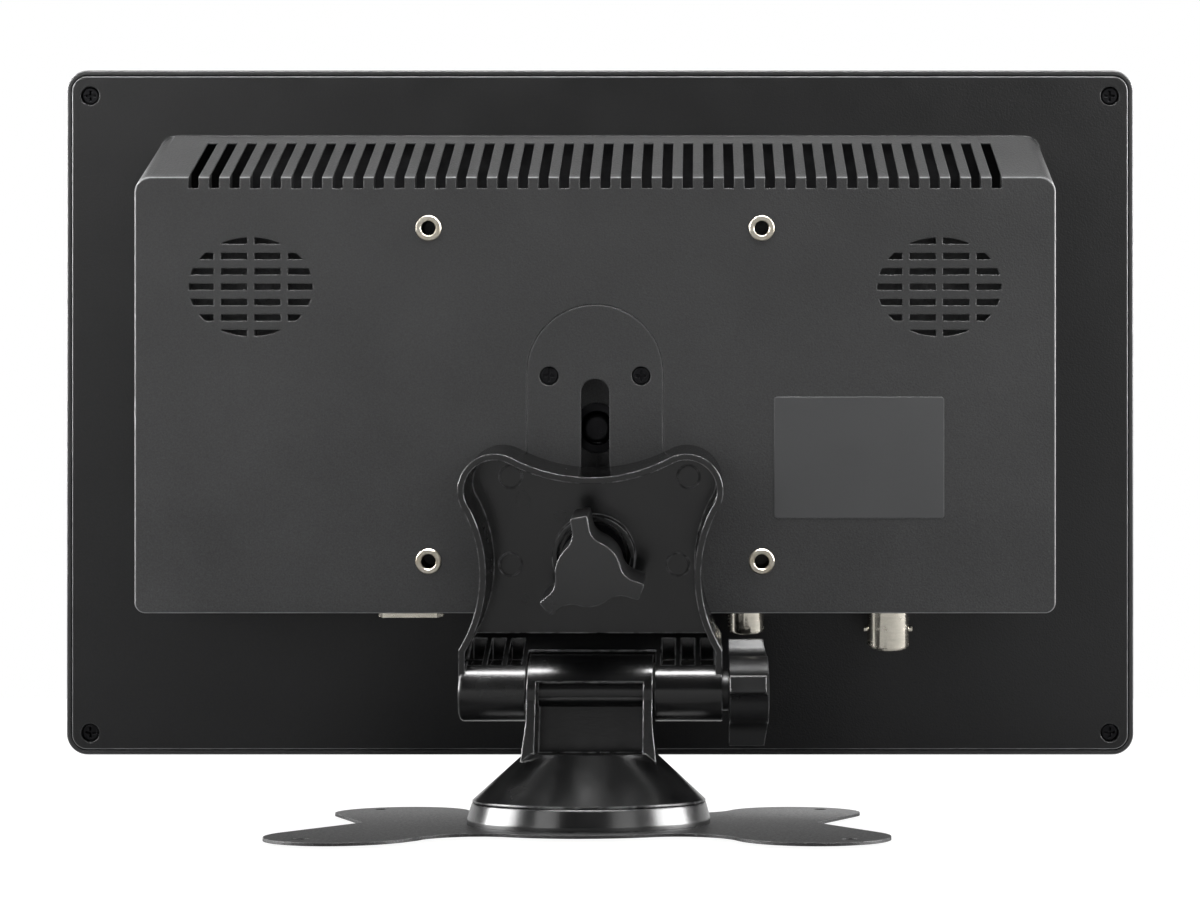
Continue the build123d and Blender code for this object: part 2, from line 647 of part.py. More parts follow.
# ======================================================================= tilting bracket
def bracket_outline():
    """Left-right symmetric outline: two round ears with a dip between them, a waist, and flared feet."""
    shoulder_x = EAR_X + sqrt(EAR_RADIUS ** 2 - (EAR_Z - SHOULDER_Z) ** 2)
    foot_z = HINGE_Z + BRACKET_FOOT
    right = ThreePointArc((shoulder_x, SHOULDER_Z), (WAIST_X, KNOB_Z), (BARREL_HALF, foot_z))
    left = ThreePointArc((-BARREL_HALF, foot_z), (-WAIST_X, KNOB_Z), (-shoulder_x, SHOULDER_Z))
    top = Line((-shoulder_x, SHOULDER_Z), (shoulder_x, SHOULDER_Z))
    foot = Polyline(
        (BARREL_HALF, foot_z), (BARREL_HALF, HINGE_Z), (-BARREL_HALF, HINGE_Z), (-BARREL_HALF, foot_z),
    )
    outline = make_face(top + right + foot + left)
    outline += Pos(0, (SHOULDER_Z + EAR_Z) / 2) * Rectangle(2 * EAR_X, EAR_Z - SHOULDER_Z)
    for x in (-EAR_X, EAR_X):
        outline += Pos(x, EAR_Z) * Circle(EAR_RADIUS)
    # the dip is one broad arc, tangent to both ears
    dip_z = EAR_Z + sqrt((DIP_RADIUS + EAR_RADIUS) ** 2 - EAR_X ** 2)
    between = make_face(Polyline((-EAR_X, EAR_Z), (EAR_X, EAR_Z), (0, dip_z), close=True))
    return outline + (between - Pos(0, dip_z) * Circle(DIP_RADIUS))


def hinge_x_cylinder(radius, low, high):
    return rod_x(radius, low, high, HINGE_Y, HINGE_Z)


def hexagon_on_hinge(radius):
    return Pos(HINGE_Y, HINGE_Z) * RegularPolygon(radius, 6)


def saddle_touch():
    """Where a line from the end of the floor lies tangent on the hinge barrel, in Y and Z."""
    start = Vector(BRACKET_FLOOR, SADDLE_Z)
    to_hinge = Vector(HINGE_Y, HINGE_Z) - start
    distance = to_hinge.length
    reach = sqrt(distance ** 2 - BARREL_RADIUS ** 2)
    along = to_hinge * (1 / distance)
    across = Vector(along.Y, -along.X)
    touch = start + (along * (reach / distance) + across * (BARREL_RADIUS / distance)) * reach
    return touch.X, touch.Y


def tray_pocket(outline):
    """The room inside the rim. At the bottom its floor slopes out onto the hinge barrels."""
    inner = offset(outline, -RIM_THICK, kind=Kind.INTERSECTION)
    pocket = slab(inner, BRACKET_RIM - 1, BRACKET_FLOOR)
    below = HINGE_Z - 20
    saddle = Polyline(
        (BRACKET_FLOOR + BEHIND, SADDLE_Z), (BRACKET_FLOOR, SADDLE_Z), saddle_touch(),
        (HINGE_Y - BARREL_RADIUS, HINGE_Z), (HINGE_Y - BARREL_RADIUS, below),
        (BRACKET_FLOOR + BEHIND, below),
        close=True,
    )
    return pocket - bar(make_face(saddle), -40, 40)


def hinge_barrel():
    """The barrel across the foot of the bracket, rounded at its left end."""
    barrel = hinge_x_cylinder(BARREL_RADIUS, -BARREL_HALF, BARREL_HALF)
    return fillet(edges_at(barrel, Axis.X, -BARREL_HALF), 0.9)


def barrel_pockets():
    """Three cored pockets on each side, open at the slope above the barrels, with ribs between them."""
    low, high = KNUCKLE_HALF + POCKET_WALL, BARREL_HALF - POCKET_WALL
    width = (high - low - 2 * POCKET_RIB) / 3
    depth = (saddle_touch()[0], BRACKET_FLOOR - POCKET_WALL)
    height = (HINGE_Z + BOLT_HOLE + POCKET_WALL, SADDLE_Z + 3)
    starts = [low + i * (width + POCKET_RIB) for i in range(3)]
    right = [block((start, start + width), depth, height) for start in starts]
    left = [block((-start - width, -start), depth, height) for start in starts]
    return right + left


def bracket():
    outline = bracket_outline()
    body = slab(outline, BRACKET_RIM, BRACKET_BACK)
    body -= block((-40, 40), (BRACKET_RIM - 1, BRACKET_BACK + 1), (HINGE_Z - 1, HINGE_Z + 0.5))
    body -= tray_pocket(outline)
    body += hinge_barrel()
    for pocket in barrel_pockets():
        body -= pocket
    # room for the knuckle of the post, which turns between the barrels under a short apron
    middle = (-KNUCKLE_HALF - BARREL_GAP, KNUCKLE_HALF + BARREL_GAP)
    body -= hinge_x_cylinder(KNUCKLE_RADIUS + KNUCKLE_GAP, *middle)
    body -= block(middle, (-30, 5), (HINGE_Z - 20, HINGE_Z))
    body -= block(middle, (-30, APRON_FRONT), (HINGE_Z - 1, SADDLE_Z + 1))
    # collar round the clamp bolt
    body += rod_y(COLLAR_RADIUS, COLLAR_TOP, BRACKET_FLOOR + 0.5, 0, KNOB_Z)
    body -= rod_y(COLLAR_RADIUS - 1.1, COLLAR_TOP - BEHIND, BRACKET_FLOOR, 0, KNOB_Z)
    body -= rod_y(BOLT_HOLE, -10, 2, 0, KNOB_Z)
    # shallow round moulding marks on the floor
    for x, z in ((-18.7, -18.0), (21.1, -18.0), (-18.7, -37.6), (18.7, -37.6)):
        body -= slab(Pos(x, z) * (Circle(2.65) - Circle(2.4)), BRACKET_FLOOR - BEHIND, BRACKET_FLOOR + 0.2)
    # bolt hole through both barrels, with a six-sided pocket for the bolt head on the left
    body -= hinge_x_cylinder(BOLT_HOLE, -40, 40)
    return body - bar(hexagon_on_hinge(4.9), -BARREL_HALF - BEHIND, -BARREL_HALF + 4.2)


def clamp_bolt():
    """T-bolt: its square head slides in the track behind the slot plate."""
    head = block((-5.8, 5.8), (TONGUE_THICK + 0.15, TRACK_DEPTH - 0.4), (KNOB_Z - 5.8, KNOB_Z + 5.8))
    return head + rod_y(BOLT_RADIUS, CLAMP_KNOB_FRONT + KNOB_CAP + 0.8, TONGUE_THICK + 0.5, 0, KNOB_Z)


def clamp_washer():
    return rod_y(7.2, WASHER_FRONT, BRACKET_FLOOR, 0, KNOB_Z) - rod_y(BOLT_HOLE, -6, 0, 0, KNOB_Z)


def tri_wing(reach, thick):
    """Three-winged knob along +Z: back at z = 0, slightly domed front."""
    outline = Sketch() + Circle(KNOB_BODY)
    for turn in (0, 120, 240):
        outline += Rot(Z=turn) * Pos(reach / 2, 0) * Rectangle(reach, KNOB_WING)
    inner = [v for v in outline.vertices() if v.center().length < KNOB_BODY + 0.2]
    outline = fillet(inner, KNOB_FLARE)
    tips = [v for v in outline.vertices() if v.center().length > reach - 0.2]
    outline = fillet(tips, 0.5)
    knob = extrude(outline, amount=thick)
    return knob & Pos(0, 0, thick - KNOB_DOME) * Rot(X=90) * Sphere(KNOB_DOME)


def tri_wing_knob(reach, thick, hub_length):
    """A knob with its hub, hollow for the insert up to the cap."""
    knob = tri_wing(reach, thick) + rod_z(5.0, -hub_length, 0.5)
    return knob - rod_z(4.0, -hub_length - 1, thick - KNOB_CAP)


def knob_insert(thick, hub_length):
    """Brass bush with the thread, moulded into the knob."""
    bush = rod_z(3.98, -hub_length, thick - KNOB_CAP)
    return bush - rod_z(BOLT_RADIUS + THREAD_GAP, -hub_length - 1, thick)


def on_clamp_axis(shape):
    """Point a knob's +Z axis out of the back, with its front at the height set for it."""
    return Pos(0, CLAMP_KNOB_FRONT + CLAMP_KNOB_THICK, KNOB_Z) * Rot(X=90) * Rot(Z=CLAMP_KNOB_TURN) * shape


def clamp_knob():
    return on_clamp_axis(tri_wing_knob(CLAMP_KNOB_REACH, CLAMP_KNOB_THICK, CLAMP_HUB))


def clamp_knob_insert():
    return on_clamp_axis(knob_insert(CLAMP_KNOB_THICK, CLAMP_HUB))


def on_hinge_axis(shape):
    """Point a knob's +Z axis along +X, with its back against the spacer."""
    start = BARREL_HALF + KNOB_SPACER + 0.05
    return Pos(start, HINGE_Y, HINGE_Z) * Rot(Y=90) * Rot(Z=TILT_KNOB_TURN) * shape


def tilt_knob():
    return on_hinge_axis(tri_wing_knob(TILT_KNOB_REACH, TILT_KNOB_THICK, 0))


def tilt_knob_insert():
    return on_hinge_axis(knob_insert(TILT_KNOB_THICK, 0))


def knob_spacer():
    spacer = hinge_x_cylinder(4.4, BARREL_HALF, BARREL_HALF + KNOB_SPACER)
    return spacer - hinge_x_cylinder(BOLT_HOLE, 20, 40)


def hinge_bolt():
    head = bar(hexagon_on_hinge(4.7), -BARREL_HALF + 0.3, -BARREL_HALF + 4.1)
    return head + hinge_x_cylinder(BOLT_RADIUS, -BARREL_HALF + 1, BARREL_HALF + KNOB_SPACER + 6.0)


def friction_washers():
    """Thin discs between the knuckle and each barrel."""
    disc = hinge_x_cylinder(5.6, KNUCKLE_HALF + 0.05, KNUCKLE_HALF + BARREL_GAP - 0.05)
    disc -= hinge_x_cylinder(BOLT_HOLE, 10, 20)
    return [disc, mirror(disc, Plane.YZ)]


# ======================================================================= post and base, in the row frame
def stand_post():
    """Knuckle, column and cone in one moulding. The column is hollow towards the back."""
    half = KNUCKLE_HALF
    knuckle = rod_x(KNUCKLE_RADIUS, -half, half, 0, HINGE_HEIGHT)
    foot_half = half + 0.9
    foot_z = CONE_TOP - 1.5
    waist_z = HINGE_HEIGHT - BARREL_RADIUS - BARREL_GAP
    column = make_face(Polyline(
        (-foot_half, foot_z), (foot_half, foot_z), (half, waist_z), (half, HINGE_HEIGHT),
        (-half, HINGE_HEIGHT), (-half, waist_z),
        close=True,
    ))
    column = slab(column, -COLUMN_HALF_DEPTH, COLUMN_HALF_DEPTH)
    cone = turned([
        (0, CONE_LOW), (CONE_LOW_RADIUS, CONE_LOW), (CONE_LOW_RADIUS, CONE_LOW + 0.3),
        (CONE_TOP_RADIUS, CONE_TOP), (0, CONE_TOP),
    ])
    body = knuckle + column + cone
    # pocket in the back of the column; its top is just above the hinge axis
    pocket_top = HINGE_HEIGHT + 1.5
    body -= block((-half + COLUMN_WALL, half - COLUMN_WALL), (-20, 1.6), (CONE_TOP, pocket_top))
    # sleeve round the hinge bolt, seen at the top of the pocket
    body += rod_x(SLEEVE_RADIUS, -half, half, 0, HINGE_HEIGHT)
    body -= rod_x(BOLT_HOLE, -40, 40, 0, HINGE_HEIGHT)
    # hollow under the cone, with a boss for the pivot screw
    boss = 6.0
    roof = CONE_TOP - 3.5
    body -= turned([
        (boss, CONE_LOW - 1), (CONE_LOW_RADIUS - 3, CONE_LOW - 1),
        (CONE_TOP_RADIUS - 4.5, roof), (boss, roof),
    ])
    return body - rod_z(1.75, CONE_LOW - 1, CONE_TOP - 2)


def base_ring():
    """Collar fixed to the base plate; the cone turns on its rim."""
    inside = RING_LOW_RADIUS - 4
    top = CONE_LOW - 0.1
    return turned([
        (inside, PLATE_TOP), (RING_LOW_RADIUS, PLATE_TOP), (RING_LOW_RADIUS, PLATE_TOP + 1.0),
        (RING_TOP_RADIUS, top - 0.2), (RING_TOP_RADIUS - 0.3, top), (inside, top),
    ])


def swivel_washer():
    """Slippery disc between the base plate and the boss of the post."""
    return rod_z(9.0, PLATE_TOP, CONE_LOW - 0.05) - rod_z(2.2, 0, 10)


def pivot_screw():
    """Shoulder screw from under the plate up into the post."""
    screw = rod_z(3.6, 0.25, PLATE_TOP - PLATE_THICK) + rod_z(1.75 - THREAD_GAP, 0.3, CONE_TOP - 2.5)
    return screw


def petal_places():
    return [(x, y) for x in (-PETAL_X, PETAL_X) for y in (-PETAL_Y, PETAL_Y)]


def petal_edge():
    """Straight edge from the notch at the side of the plate, tangent to the outside of a petal."""
    notch = Vector(NOTCH_X, 0)
    to_petal = Vector(PETAL_X, PETAL_Y) - notch
    distance = to_petal.length
    reach = sqrt(distance ** 2 - PETAL_RADIUS ** 2)
    along = to_petal * (1 / distance)
    across = Vector(along.Y, -along.X)
    touch = notch + (along * (reach / distance) + across * (PETAL_RADIUS / distance)) * reach
    return make_face(Polyline((0, 0), (NOTCH_X, 0), (touch.X, touch.Y), (PETAL_X, PETAL_Y), close=True))


def petal_neck():
    """Fill between the disc and a petal, with a concave arc that is tangent to both."""
    petal = Vector(PETAL_X, PETAL_Y)
    distance = petal.length
    to_disc = DISC_RADIUS + NECK_RADIUS
    to_petal = PETAL_RADIUS + NECK_RADIUS
    along = (to_disc ** 2 - to_petal ** 2 + distance ** 2) / (2 * distance)
    across = sqrt(to_disc ** 2 - along ** 2)
    unit = petal * (1 / distance)
    centre = unit * along + Vector(-unit.Y, unit.X) * across
    triangle = make_face(Polyline((0, 0), (PETAL_X, PETAL_Y), (centre.X, centre.Y), close=True))
    return triangle - Pos(centre.X, centre.Y) * Circle(NECK_RADIUS)


def base_plate():
    """Butterfly-shaped steel plate: a disc, four round petals and a notch at each side."""
    outline = Sketch() + Circle(DISC_RADIUS)
    for x, y in petal_places():
        outline += Pos(x, y) * Circle(PETAL_RADIUS)
    for piece in (petal_edge(), petal_neck()):
        for front in (piece, mirror(piece, Plane.XZ)):
            outline += front
            outline += mirror(front, Plane.YZ)
    plate = extrude(Plane.XY.offset(PLATE_TOP - PLATE_THICK) * outline, amount=PLATE_THICK)
    for x in (-PLATE_HOLE_X, PLATE_HOLE_X):
        for y in (-PLATE_HOLE_Y, PLATE_HOLE_Y):
            plate -= rod_z(PLATE_HOLE, 0, 3, x, y)
    return plate - rod_z(2.2, 0, 3)


def base_pads():
    """Round foam pads under the petals, clear of the screw holes."""
    corners = [(x, y) for x in (-PAD_X, PAD_X) for y in (-PAD_Y, PAD_Y)]
    return [rod_z(PAD_RADIUS, 0, PLATE_TOP - PLATE_THICK, x, y) for x, y in corners]


# ======================================================================= writing the nodes
def solids_of(shape):
    """The solids of whatever a function returns: one shape or a list of them."""
    shapes = shape if isinstance(shape, list) else [shape]
    return [solid for piece in shapes for solid in piece.solids()]


def standing(shape):
    """A node of the stand, as drawn."""
    return Compound(solids_of(shape))


def leaning(shape):
    """A node of the panel frame, set on the stand's hinge."""
    return Compound([lean_back(solid) for solid in solids_of(shape)])


PANEL_PARTS = {
    "rear_cover": rear_cover,
    "front_bezel": front_bezel,
    "slot_plate": slot_plate,
    "slot_plate_screws": slot_plate_screws,
    "track_screw": track_screw,
    "case_screws": case_screws,
    "vesa_inserts": vesa_inserts,
    "rating_label": rating_label,
    "lcd_frame": lcd_frame,
    "light_guide": light_guide,
    "lcd_glass": lcd_glass,
    "chassis_plate": chassis_plate,
    "board_standoffs": board_standoffs,
    "board_screws": board_screws,
    "main_board": main_board,
    "board_chips": board_chips,
    "panel_cable": panel_cable,
    "key_board": key_board,
    "key_switches": key_switches,
    "key_cable": key_cable,
    "power_led": power_led,
    "ir_window": ir_window,
    "speaker_wires": speaker_wires,
    "hdmi_shell": hdmi_shell,
    "hdmi_tongue": hdmi_tongue,
    "rca_shell": rca_shell,
    "rca_core": rca_core,
    "bnc_body": bnc_body,
    "bnc_insulator": bnc_insulator,
    "bnc_contact": bnc_contact,
    "dc_jack": dc_jack,
    "dc_pin": dc_pin,
    "bracket": bracket,
    "clamp_bolt": clamp_bolt,
    "clamp_washer": clamp_washer,
    "clamp_knob": clamp_knob,
    "clamp_knob_insert": clamp_knob_insert,
    "tilt_knob": tilt_knob,
    "tilt_knob_insert": tilt_knob_insert,
    "knob_spacer": knob_spacer,
    "hinge_bolt": hinge_bolt,
    "friction_washers": friction_washers,
}
STAND_PARTS = {
    "stand_post": stand_post,
    "base_ring": base_ring,
    "swivel_washer": swivel_washer,
    "pivot_screw": pivot_screw,
    "base_plate": base_plate,
    "base_pads": base_pads,
}


def build_nodes():
    nodes = {name: leaning(make()) for name, make in PANEL_PARTS.items()}
    for side, x in (("left", -GRILLE_X), ("right", GRILLE_X)):
        nodes["speaker_frame_" + side] = leaning(speaker_frame(x))
        nodes["speaker_cone_" + side] = leaning(speaker_cone(x))
    for name, x in BUTTON_X.items():
        nodes[name + "_button"] = leaning(button(x))
    for name, make in STAND_PARTS.items():
        nodes[name] = standing(make())
    return nodes


os.makedirs("parts", exist_ok=True)
for node_name, node in build_nodes().items():
    export_step(node, f"parts/{node_name}.step")
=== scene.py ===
import json
import math

import bpy
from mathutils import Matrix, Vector

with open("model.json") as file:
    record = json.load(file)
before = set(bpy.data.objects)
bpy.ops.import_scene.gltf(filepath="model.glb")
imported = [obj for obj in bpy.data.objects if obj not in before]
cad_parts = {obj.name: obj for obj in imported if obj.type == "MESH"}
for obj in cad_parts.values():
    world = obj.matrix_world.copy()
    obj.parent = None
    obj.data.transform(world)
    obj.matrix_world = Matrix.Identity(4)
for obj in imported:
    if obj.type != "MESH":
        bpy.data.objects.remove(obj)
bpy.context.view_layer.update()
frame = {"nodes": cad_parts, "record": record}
NODES = frame["nodes"]

# The panel frame of the monitor, in the row frame: the hinge of the stand and the lean at rest.
# Its depth is 0 on the raised back face and grows towards the screen.
LEAN = math.radians(16.8)
HINGE = Vector((0.0, 0.0, 0.0283))
HINGE_IN_PANEL = Vector((0.0, -0.010, -0.0633))
INTO_PANEL = Vector((0.0, math.cos(LEAN), math.sin(LEAN)))
UP_PANEL = Vector((0.0, -math.sin(LEAN), math.cos(LEAN)))

# Places on the case, in the panel frame, where its finish changes or where painted shade begins.
RIM_DEPTH = (0.0145, 0.0160)
BEHIND_FACE = (0.0004, 0.0016)
PAINTED_SHADE_HEIGHT = (-0.045, 0.05)
INSERT_BORE_DEPTH = (-0.00012, 0.0004)
THREAD_PITCH = 0.0007


def panel_point(x, depth, up):
    """A point of the panel frame, in metres, in the row frame."""
    offset = Vector((x, depth, up)) - HINGE_IN_PANEL
    return HINGE + Vector((offset.x, 0, 0)) + INTO_PANEL * offset.y + UP_PANEL * offset.z


# ---------------------------------------------------------------- node graphs
class Graph:
    """A material's node graph, with one short method for each kind of step."""

    def __init__(self, name):
        self.material = bpy.data.materials.new(name)
        self.material.use_nodes = True
        self.tree = self.material.node_tree
        self.tree.nodes.clear()
        self.place = self.node("ShaderNodeTexCoord").outputs["Object"]

    def node(self, kind, inputs=None, **settings):
        made = self.tree.nodes.new(kind)
        for key, value in settings.items():
            setattr(made, key, value)
        for key, value in (inputs or {}).items():
            self.feed(made.inputs[key], value)
        return made

    def feed(self, socket, value):
        if isinstance(value, bpy.types.NodeSocket):
            self.tree.links.new(value, socket)
        else:
            socket.default_value = value

    def math(self, operation, a, b=0.0, clamp=False):
        made = self.node("ShaderNodeMath", {0: a, 1: b}, operation=operation, use_clamp=clamp)
        return made.outputs[0]

    def noise(self, scale, detail=2.0, roughness=0.5, place=None):
        values = {"Vector": place or self.place, "Scale": scale, "Detail": detail, "Roughness": roughness}
        return self.node("ShaderNodeTexNoise", values).outputs["Fac"]

    def stretched(self, scale):
        """Object coordinates with a different scale on each axis."""
        return self.node("ShaderNodeMapping", {"Vector": self.place, "Scale": scale}).outputs["Vector"]

    def span(self, value, low, high, out_low=0.0, out_high=1.0):
        values = {"Value": value, "From Min": low, "From Max": high, "To Min": out_low, "To Max": out_high}
        return self.node("ShaderNodeMapRange", values, clamp=True).outputs["Result"]

    def mix(self, share, a, b):
        made = self.node("ShaderNodeMix", data_type="RGBA")
        self.feed(made.inputs[0], share)
        self.feed(made.inputs[6], a)
        self.feed(made.inputs[7], b)
        return made.outputs[2]

    def along(self, direction):
        """Distance along a direction of the row frame at rest."""
        made = self.node("ShaderNodeVectorMath", {0: self.place, 1: direction}, operation="DOT_PRODUCT")
        return made.outputs["Value"]

    def panel_depth(self):
        """Depth in the panel frame."""
        return self.math("SUBTRACT", self.along(INTO_PANEL), panel_point(0, 0, 0).dot(INTO_PANEL))

    def panel_height(self):
        """Height in the panel frame."""
        return self.math("SUBTRACT", self.along(UP_PANEL), panel_point(0, 0, 0).dot(UP_PANEL))

    def rounded(self, radius):
        """Normals as if every edge had this radius."""
        return self.node("ShaderNodeBevel", {"Radius": radius}, samples=4).outputs["Normal"]

    def edge(self, rounded_normal):
        """1 on the rounded corners, broken by noise, 0 on flat faces: the mask of handling wear and of a
        painted highlight.
        """
        flat = self.node("ShaderNodeNewGeometry").outputs["Normal"]
        dot = self.node("ShaderNodeVectorMath", {0: rounded_normal, 1: flat}, operation="DOT_PRODUCT")
        turned = self.math("SUBTRACT", 1.0, dot.outputs["Value"], clamp=True)
        broken = self.span(self.noise(420.0, 3.0), 0.35, 0.6)
        return self.math("MULTIPLY", self.span(turned, 0.02, 0.25), broken)

    def corner_highlight_band(self):
        """1 on the rounded corners of a face parallel to the screen, 0 on flat sides and slopes: the mask
        of a painted highlight.
        """
        normal = self.node("ShaderNodeTexCoord").outputs["Normal"]
        facing = self.node("ShaderNodeVectorMath", {0: normal, 1: -INTO_PANEL}, operation="DOT_PRODUCT")
        facing = facing.outputs["Value"]
        inner = self.span(facing, 0.90, 0.97, 1.0, 0.0)
        return self.math("MULTIPLY", inner, self.span(facing, 0.56, 0.62))

    def bump(self, height, depth, normal=None):
        values = {"Height": height, "Distance": depth, "Strength": 1.0}
        if normal is not None:
            values["Normal"] = normal
        return self.node("ShaderNodeBump", values).outputs["Normal"]

    def finish(self, **values):
        """End the graph with a Principled shader. Keys are input names with _ for spaces."""
        inputs = {key.replace("_", " "): value for key, value in values.items()}
        shader = self.node("ShaderNodeBsdfPrincipled", inputs)
        output = self.node("ShaderNodeOutputMaterial")
        self.tree.links.new(shader.outputs["BSDF"], output.inputs["Surface"])
        return self.material


def shade(color, factor):
    """A colour made lighter or darker, with its alpha."""
    return (color[0] * factor, color[1] * factor, color[2] * factor, 1.0)


def grained(graph, color, contrast, cloud_scale, grain_scale):
    """A base colour with broad clouds and a fine mottle, both as shares of the colour."""
    clouds = graph.noise(cloud_scale, 5.0, 0.55)
    fine = graph.noise(grain_scale, 3.0, 0.6)
    blend = graph.math("ADD", graph.math("MULTIPLY", clouds, 0.45), graph.math("MULTIPLY", fine, 0.55))
    share = graph.span(blend, 0.32, 0.68)
    return graph.mix(share, shade(color, 1 - contrast), shade(color, 1 + contrast))


# ---------------------------------------------------------------- materials
def moulded(name, color, roughness, grain, grain_depth, contrast=0.18, wear_and_highlight=0.25, wear_and_highlight_color=None,
            round_edges=0.0004, corner_highlight_line=None):
    """Injection-moulded plastic: spark-eroded grain, faint clouds, and edges lightened by wear and by a
    painted highlight.

    The grain is set by its noise scale per metre and its depth in metres. A corner_highlight_line is the
    colour of a painted highlight along the rounded corners.
    """
    graph = Graph(name)
    normal = graph.rounded(round_edges)
    base = grained(graph, color, contrast, 28.0, grain * 1.2)
    # worn edges and painted highlight: the rounded edges are lightened
    edge = graph.math("MULTIPLY", graph.edge(normal), wear_and_highlight)
    base = graph.mix(edge, base, shade(wear_and_highlight_color or color, 2.6))
    # painted highlight along the rounded corners
    if corner_highlight_line:
        base = graph.mix(graph.corner_highlight_band(), base, corner_highlight_line)
    pits = graph.noise(grain, 2.0, 0.6)
    waves = graph.noise(55.0, 2.0)
    rough = graph.span(graph.noise(90.0, 4.0), 0.3, 0.7, roughness - 0.06, roughness + 0.06)
    rough = graph.math("SUBTRACT", rough, graph.math("MULTIPLY", edge, 0.2))
    height = graph.math("ADD", pits, graph.math("MULTIPLY", waves, 0.8))
    bumped = graph.bump(height, grain_depth, normal)
    return graph.finish(Base_Color=base, Roughness=rough, Normal=bumped)


def case_plastic():
    """The moulded back. Its rim is smoother and darker than the grained raised part."""
    graph = Graph("case_plastic")
    normal = graph.rounded(0.0005)
    rim = graph.span(graph.panel_depth(), *RIM_DEPTH)
    base = grained(graph, (0.033, 0.0334, 0.0342), 0.5, 26.0, 2900.0)
    base = graph.mix(rim, base, grained(graph, (0.010, 0.0102, 0.0107), 0.3, 18.0, 2400.0))
    inside = graph.span(graph.panel_depth(), *BEHIND_FACE)
    # worn edges and painted highlight: the rounded edges are lightened
    edge = graph.math("MULTIPLY", graph.edge(normal), 0.6)
    base = graph.mix(edge, base, (0.16, 0.162, 0.166, 1.0))
    # painted shade: the plastic is darker towards the top
    painted_shade = graph.span(graph.panel_height(), *PAINTED_SHADE_HEIGHT, 0.0, 0.45)
    base = graph.mix(painted_shade, base, (0.008, 0.008, 0.008, 1.0))
    # painted highlight: a bright line along the rounded corners, broken by noise
    corner_highlight = graph.span(graph.noise(300.0, 3.0), 0.3, 0.6, 0.6, 1.0)
    corner_highlight = graph.math("MULTIPLY", graph.corner_highlight_band(), corner_highlight)
    base = graph.mix(corner_highlight, base, (0.21, 0.212, 0.217, 1.0))
    pits = graph.noise(2300.0, 2.0, 0.6)
    height = graph.math("ADD", pits, graph.math("MULTIPLY", graph.noise(50.0, 2.0), 0.7))
    rough = graph.span(graph.noise(80.0, 4.0), 0.3, 0.7, 0.48, 0.58)
    rough = graph.math("SUBTRACT", rough, graph.math("MULTIPLY", rim, 0.17))
    level = graph.span(inside, 0.0, 1.0, 0.38, 0.28)
    return graph.finish(Base_Color=base, Roughness=rough, Specular_IOR_Level=level,
                        Normal=graph.bump(height, 0.00007, normal))


def metal(name, color, roughness, brushed=(400.0, 400.0, 400.0), depth=0.000006, tarnish=0.25,
          tarnish_color=None):
    """Bare or plated metal with fine tool marks, dull spots and bright edges."""
    graph = Graph(name)
    normal = graph.rounded(0.00012)
    marks = graph.noise(1.0, 4.0, 0.7, graph.stretched(brushed))
    dull = graph.span(graph.noise(260.0, 4.0, 0.65), 0.42, 0.68)
    base = graph.mix(graph.span(marks, 0.3, 0.7), shade(color, 0.82), shade(color, 1.08))
    base = graph.mix(graph.math("MULTIPLY", dull, tarnish), base, shade(tarnish_color or color, 0.45))
    base = graph.mix(graph.math("MULTIPLY", graph.edge(normal), 0.5), base, shade(color, 1.25))
    rough = graph.math("ADD", graph.span(marks, 0.3, 0.7, roughness - 0.08, roughness + 0.08),
                       graph.math("MULTIPLY", dull, 0.18))
    bumped = graph.bump(marks, depth, normal)
    return graph.finish(Base_Color=base, Metallic=1.0, Roughness=rough, Normal=bumped)


def threaded_insert():
    """Plated bush: turned face outside, threads down the bore, and painted shade darkening the bore."""
    graph = Graph("insert_metal")
    normal = graph.rounded(0.00015)
    bore = graph.span(graph.panel_depth(), *INSERT_BORE_DEPTH)
    marks = graph.noise(900.0, 4.0, 0.7)
    stain = graph.span(graph.noise(420.0, 3.0), 0.45, 0.7)
    base = graph.mix(graph.span(marks, 0.3, 0.7), (0.36, 0.335, 0.28, 1.0), (0.56, 0.53, 0.46, 1.0))
    base = graph.mix(graph.math("MULTIPLY", stain, 0.4), base, (0.34, 0.27, 0.17, 1.0))
    # painted shade: the bore is near black
    base = graph.mix(bore, base, (0.010, 0.009, 0.008, 1.0))
    turns = graph.math("SINE", graph.math("MULTIPLY", graph.panel_depth(), 2 * math.pi / THREAD_PITCH))
    height = graph.math("ADD", graph.math("MULTIPLY", marks, 0.1), graph.math("MULTIPLY", turns, bore))
    rough = graph.span(bore, 0.0, 1.0, 0.3, 0.6)
    return graph.finish(Base_Color=base, Metallic=1.0, Roughness=rough,
                        Normal=graph.bump(height, 0.00012, normal))


def powder_coat():
    """Textured powder coat: hard little bumps with lighter specks on their tops."""
    graph = Graph("powder_coat")
    normal = graph.rounded(0.0002)
    lumps = graph.noise(1500.0, 3.0, 0.6)
    speck = graph.span(graph.noise(2400.0, 2.0, 0.7), 0.56, 0.66)
    base = grained(graph, (0.008, 0.008, 0.0083), 0.3, 22.0, 900.0)
    base = graph.mix(graph.math("MULTIPLY", speck, 0.4), base, (0.16, 0.16, 0.163, 1.0))
    edge = graph.edge(normal)
    # worn edges and painted highlight: the plate's rounded edges are lightened
    base = graph.mix(graph.math("MULTIPLY", edge, 0.6), base, (0.42, 0.42, 0.42, 1.0))
    rough = graph.span(lumps, 0.3, 0.7, 0.42, 0.58)
    return graph.finish(Base_Color=base, Roughness=rough, Specular_IOR_Level=0.3,
                        Normal=graph.bump(lumps, 0.00006, normal))


